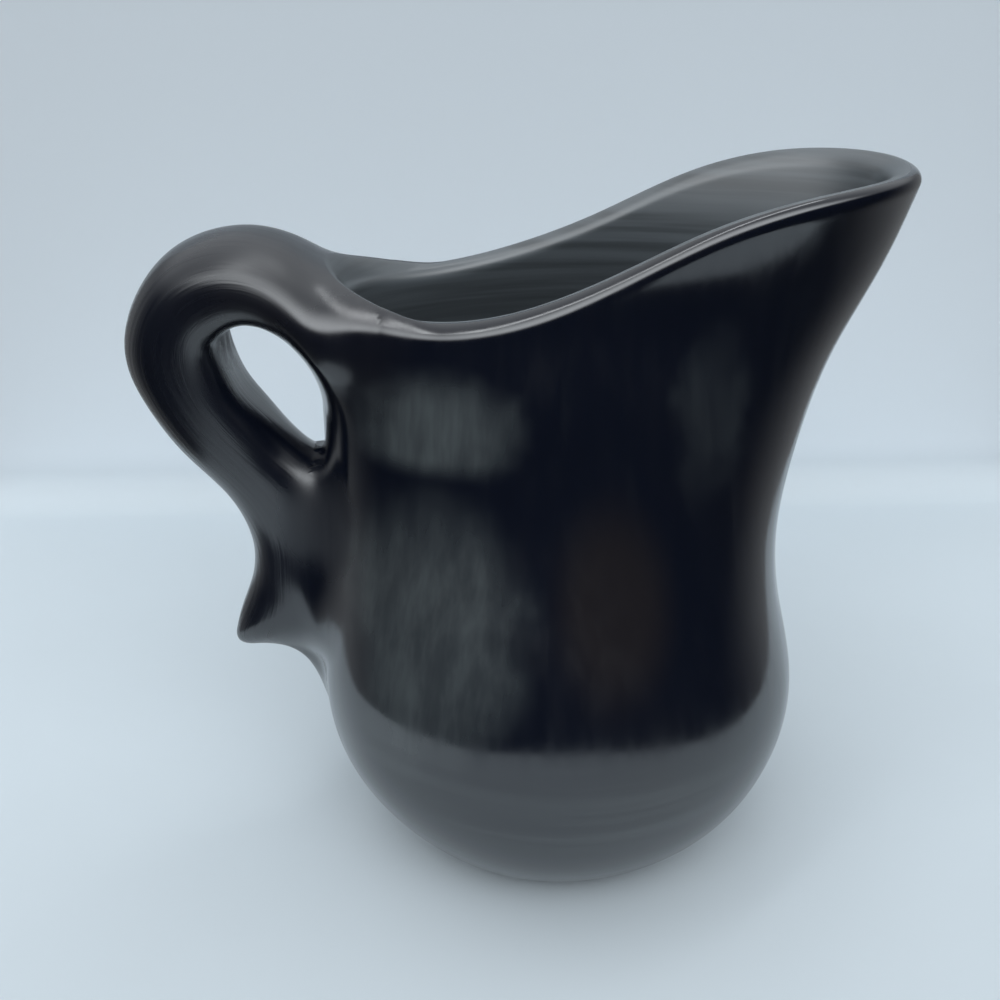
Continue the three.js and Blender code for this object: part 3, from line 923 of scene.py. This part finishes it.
def burnished_clay(finish):
    """Black clay rubbed with a pebble: fine upright strokes outside, level ones near the foot and inside,
    lengthwise ones on the loop, cloudy gloss, brown fire clouds, a few pits, and scraped dull clay inside
    the finger hole. Grey painted reflections lie on the front of the wall, beside the spout and low on the
    belly."""
    name = "burnished_black_clay"
    if name in bpy.data.materials:
        return bpy.data.materials[name]
    material = bpy.data.materials.new(name)
    n = Nodes(material)
    where = n.add("TexCoord", out=3)
    height = n.add("SeparateXYZ", {}, [where], out=2)
    inside, gouge, loose = (n.mark(key) for key in ("inside", "gouge", "loose"))
    strap = n.add("CombineXYZ", {}, [n.mark(key) for key in ("round_x", "round_y", "along")])

    # Strokes of the pebble, clouds, dents and pits
    upright = n.stretched(where, (310, 310, 9), 3.0, 0.55)
    level = n.stretched(where, (12, 12, 420), 3.0, 0.55)
    lengthwise = n.stretched(strap, (9, 9, 30), 3.0, 0.6)
    lying = 1 - (height.between(0.016, 0.034) * (1 - inside))
    strokes = (upright * (1 - lying) + level * lying) * (1 - loose) + lengthwise * loose
    clouds = n.add("TexNoise", {}, {"Vector": where, "Scale": 26.0, "Detail": 2.0, "Roughness": 0.5})
    dents = n.add("TexNoise", {}, {"Vector": where, "Scale": 55.0, "Detail": 1.0})
    cell = {"Vector": where, "Scale": 95.0, "Randomness": 1.0}
    deep = n.add("TexVoronoi", {"feature": "F1"}, cell)
    chance = n.add("TexVoronoi", {"feature": "F1"}, cell, out=1)
    chosen = n.add("SeparateColor", {}, [chance]).between(0.9, 0.91)
    pits = (1 - deep.between(0.012, 0.035)) * chosen
    scrape = n.stretched(where, (900, 300, 900), 5.0, 0.7)
    rough_hole = gouge * scrape.between(0.35, 0.7)

    # Painted reflections in grey: ragged patches on the wall and beside the spout where bright things in
    # front are mirrored, and faint real grey streaks all over
    stray = n.add("TexNoise", {}, {"Vector": where, "Scale": 38.0, "Detail": 3.0, "Roughness": 0.6}, out=1)
    stray = n.vector("SUBTRACT", stray, (0.5, 0.5, 0.5))
    stray = n.vector("MULTIPLY", stray, (0.024, 0.024, 0.014))
    stray = n.vector("ADD", where, stray)
    rubs = n.stretched(where, (230, 230, 14), 3.0, 0.6)
    upper = n.blob(stray, *UPPER_REFLECTION) * height.between(0.092, 0.097)
    sheen_and_streaks = upper * 0.85 + n.blob(stray, *LOWER_REFLECTION) * 0.7 + n.blob(stray, *SPOUT_REFLECTION) * 0.2
    sheen_and_streaks = sheen_and_streaks * (0.6 + rubs.between(0.3, 0.7) * 0.4) * (0.7 + strokes * 0.6)
    sheen_and_streaks = sheen_and_streaks + rubs.between(0.55, 0.8) * 0.04
    # Paler low on the belly: painted reflection of the pale table, broken by level streaks
    low = 1 - height.between(0.03, 0.052)
    sheen_and_streaks = sheen_and_streaks + low * (0.1 + level.between(0.4, 0.7) * 0.22) * (0.5 + clouds)

    brown = clouds.between(0.5, 0.8) * 0.4 + n.blob(where, *BROWN_CLOUD)
    tone = n.mix(brown, rgba(finish.black), rgba(finish.cloud))
    tone = n.mix(sheen_and_streaks, tone, rgba(finish.haze))
    # Inside the mouth: a darker copy of the grey, mixed in along the strokes, paints streaky highlights on
    # the inner wall
    shaded = rgba([0.6 * v for v in finish.lining])
    lining = n.mix(strokes.between(0.35, 0.65), shaded, rgba(finish.lining))
    tone = n.mix(inside, tone, lining)
    tone = n.mix(rough_hole * 0.8, tone, rgba(finish.scuff))
    tone = n.mix(pits, tone, rgba(finish.pit))

    # Duller where the pebble doesn't reach
    dull = clouds.between(0.3, 0.7) * 0.5 + strokes.between(0.35, 0.7) * 0.5
    missed = n.blob(where, *CROOK) * 0.4 + n.blob(where, *HANDLE_CREST) * 0.14 + loose * 0.08
    roughness = finish.gloss + (finish.dull - finish.gloss) * dull + gouge * 0.25 + inside * 0.2 + missed
    relief = strokes * (0.06 + loose * 0.3) + dents * 0.5 - pits * 0.7 + rough_hole * 0.9
    bump = n.add("Bump", {}, {"Strength": 1.0, "Distance": 0.00025, "Height": relief})
    values = {"Base Color": tone, "Roughness": roughness, "Normal": bump, "IOR": finish.ior}
    n.add("OutputMaterial", {}, {"Surface": n.add("BsdfPrincipled", {}, values)})
    return material


def table_mesh(stage):
    """Table with a board behind it in one sheet: a side view that runs back, round a quarter circle and up,
    carried from the left end to the right. The front edge is half an oval, and the ends spread backwards."""
    back, top, cove = stage.table_back, stage.board, stage.cove
    turn = np.linspace(0, math.pi / 2, 13)
    deep = np.concatenate([[0.0], back - cove + cove * np.sin(turn), [back]])
    high = np.concatenate([[0.0], cove - cove * np.cos(turn), [top]])
    turn = np.linspace(-math.pi / 2, math.pi / 2, 61)
    sides = (stage.table_sides, stage.board_sides)
    near, far = ((left + right) / 2 + np.sin(turn) * (right - left) / 2 for left, right in sides)
    grid = np.zeros((len(turn), len(deep) + 1, 3))
    grid[:, :2, 0] = near[:, None]
    grid[:, 2:, 0] = far[:, None]
    grid[:, 0, 1] = -stage.table_front * np.cos(turn)
    grid[:, 1:, 1] = deep
    grid[:, 1:, 2] = high
    index = np.arange(grid[..., 0].size).reshape(grid.shape[:2])
    faces = np.stack([index[:-1, :-1], index[1:, :-1], index[1:, 1:], index[:-1, 1:]], -1)
    mesh = bpy.data.meshes.new("table")
    mesh.from_pydata(grid.reshape(-1, 3).tolist(), [], faces.reshape(-1, 4).tolist())
    mesh.polygons.foreach_set("use_smooth", np.ones(len(mesh.polygons), bool))
    mesh.update()
    return mesh


def table_finish(stage):
    """Pale table, hardly uneven, with a paler board. From behind or below, the camera sees through it."""
    material = bpy.data.materials.new("pale_table")
    n = Nodes(material)
    where = n.add("TexCoord", out=3)
    patches = n.add("TexNoise", {}, {"Vector": where, "Scale": 9.0, "Detail": 3.0})
    deep = [0.97 * v for v in stage.table]
    tone = n.mix(patches.between(0.35, 0.65), rgba(deep), rgba(stage.table))
    risen = n.add("SeparateXYZ", {}, [where], out=2).between(0.0, 0.02)
    tone = n.mix(risen, tone, rgba(stage.board_tone))
    shader = n.add("BsdfPrincipled", {}, {"Base Color": tone, "Roughness": 0.75})
    behind = n.add("NewGeometry", out=6) * n.add("LightPath")  # back faces seen by camera rays
    clear = n.add("BsdfTransparent")
    n.add("OutputMaterial", {}, {"Surface": n.add("MixShader", {}, [behind, shader, clear])})
    return material


def room_light(scene, stage):
    """Soft studio light: brightest high up in front, dimmer overhead and behind the pot, dark low down in
    front and at the sides. The camera sees a plain pale backdrop instead."""
    world = bpy.data.worlds.new("studio_room")
    scene.world = world
    n = Nodes(world)
    way = n.add("TexCoord", out=3)
    along = n.add("SeparateXYZ", {}, [way], out=1)
    up = n.add("SeparateXYZ", {}, [way], out=2)
    behind = along.between(-0.2, 0.6) * 0.3
    overhead = up.between(0.25, 0.6) * 0.62
    ahead = (0 - along).between(0.2, 0.75) * up.between(0.34, 0.6) * 3.2
    level = 0.02 + behind + overhead + ahead
    room = n.add("Background", {}, {"Color": rgba(stage.daylight), "Strength": level})
    backdrop = n.add("Background", {}, {"Color": rgba(stage.table), "Strength": 1.0})
    seen = n.add("LightPath")  # camera rays
    n.add("OutputWorld", {}, {"Surface": n.add("MixShader", {}, [seen, room, backdrop])})


def overhead_strip(scene, stage):
    """A long narrow lamp over the pot, turned to face the handle's top and spun about its own beam."""
    place, aim, spin = Vector((-0.15, -0.02, 1.05)), Vector((-0.05, 0, 0.12)), -0.96
    lamp = bpy.data.lights.new("overhead_strip", "AREA")
    lamp.shape = "RECTANGLE"
    lamp.size, lamp.size_y = 1.2, 0.12
    lamp.energy = 1.8
    lamp.color = stage.lamp
    holder = bpy.data.objects.new("overhead_strip", lamp)
    scene.collection.objects.link(holder)
    holder.location = place
    facing = (aim - place).to_track_quat("-Z", "Y").to_matrix()
    holder.rotation_euler = (facing @ Matrix.Rotation(spin, 3, "Z")).to_euler()


def set_camera(context, stage):
    """Camera at the photograph's angle: level, pitched down and turned a little about its line of sight."""
    lens = bpy.data.cameras.new("camera")
    lens.sensor_width = 36.0
    lens.lens = stage.lens
    lens.clip_start = 0.01
    holder = bpy.data.objects.new("camera", lens)
    context.scene.collection.objects.link(holder)
    holder.location = stage.camera
    holder.rotation_mode = "XYZ"
    about_z = Matrix.Rotation(-stage.turn, 3, "Z")
    about_x = Matrix.Rotation(math.pi / 2 - stage.pitch, 3, "X")
    about_sight = Matrix.Rotation(stage.roll, 3, "Z")
    holder.rotation_euler = (about_z @ about_x @ about_sight).to_euler("XYZ")
    context.scene.camera = holder


class PITCHER_OT_base(bpy.types.Operator):
    """Press the base: flat foot, turned-up edge and rounded floor"""

    bl_idname = "pitcher.base"
    bl_label = "Pressed base"

    def execute(self, context):
        coil(context, "base", ("under", "belly"), ("floor", "end"), closed=False)
        return {"FINISHED"}


class PITCHER_OT_belly(bpy.types.Operator):
    """Build the belly from coils between the base and the neck"""

    bl_idname = "pitcher.belly"
    bl_label = "Belly coils"

    def execute(self, context):
        coil(context, "belly_wall", ("belly", "neck"), ("inner_belly", "floor"))
        return {"FINISHED"}


class PITCHER_OT_neck(bpy.types.Operator):
    """Raise the neck and draw the spout forward"""

    bl_idname = "pitcher.neck"
    bl_label = "Neck and spout"

    def execute(self, context):
        coil(context, "neck_and_spout", ("neck", "lip"), ("inner_neck", "inner_belly"))
        return {"FINISHED"}


class PITCHER_OT_lip(bpy.types.Operator):
    """Lay the rounded lip coil on the sweeping rim"""

    bl_idname = "pitcher.lip"
    bl_label = "Lip coil"

    def execute(self, context):
        coil(context, "rim_lip", ("lip", "crest"), ("crest", "inner_neck"))
        return {"FINISHED"}


class PITCHER_OT_handle(bpy.types.Operator):
    """Bend the handle and lute it to the back, then pinch out the spur"""

    bl_idname = "pitcher.handle"
    bl_label = "Handle and spur"

    def execute(self, context):
        skin = skins(context)[1]
        last = len(skin["grid"]) - 1
        for node, first, end in (("handle_loop", 0, skin["shank"]), ("handle_spur", skin["shank"], last)):
            rows = list(range(first, end + 1))
            mesh = skin_mesh(node, skin["grid"], skin["normals"], rows, False, skin["marks"])
            place_piece(context, node, mesh)
        return {"FINISHED"}


class PITCHER_OT_stage(bpy.types.Operator):
    """Set the table, the soft light and the camera"""

    bl_idname = "pitcher.stage"
    bl_label = "Table, light and camera"

    def execute(self, context):
        scene, stage = context.scene, context.scene.pitcher_stage
        table = bpy.data.objects.new("table", table_mesh(stage))
        table.data.materials.append(table_finish(stage))
        scene.collection.objects.link(table)
        room_light(scene, stage)
        overhead_strip(scene, stage)
        set_camera(context, stage)
        scene.view_settings.view_transform = "Standard"
        return {"FINISHED"}


class PITCHER_PT_panel(bpy.types.Panel):
    """Sidebar panel with the pieces and the stage"""

    bl_label = "Pottery pitcher"
    bl_idname = "PITCHER_PT_panel"
    bl_space_type = "VIEW_3D"
    bl_region_type = "UI"
    bl_category = "Pitcher"

    def draw(self, context):
        layout = self.layout
        for step in STEPS:
            layout.operator(step.bl_idname)
        for group in GROUPS:
            box = layout.box()
            owner = getattr(context.scene, group)
            for name in owner.__annotations__:
                box.prop(owner, name)


GROUPS = {
    "pitcher_pot": PitcherPot,
    "pitcher_handle": PitcherHandle,
    "pitcher_clay": PitcherClay,
    "pitcher_stage": PitcherStage,
}
STEPS = (
    PITCHER_OT_base,
    PITCHER_OT_belly,
    PITCHER_OT_neck,
    PITCHER_OT_lip,
    PITCHER_OT_handle,
    PITCHER_OT_stage,
)


def register():
    """Registers the classes and hangs the property groups on the scene."""
    for kind in (*GROUPS.values(), *STEPS, PITCHER_PT_panel):
        bpy.utils.register_class(kind)
    for name, kind in GROUPS.items():
        setattr(bpy.types.Scene, name, bpy.props.PointerProperty(type=kind))


def unregister():
    """Takes back what register did, in the opposite order."""
    for name in GROUPS:
        delattr(bpy.types.Scene, name)
    for kind in (PITCHER_PT_panel, *reversed(STEPS), *reversed(GROUPS.values())):
        bpy.utils.unregister_class(kind)


def main():
    """Registers the classes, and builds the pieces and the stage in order."""
    register()
    bpy.ops.pitcher.base()
    bpy.ops.pitcher.belly()
    bpy.ops.pitcher.neck()
    bpy.ops.pitcher.lip()
    bpy.ops.pitcher.handle()
    bpy.ops.pitcher.stage()


if __name__ == "__main__":
    main()
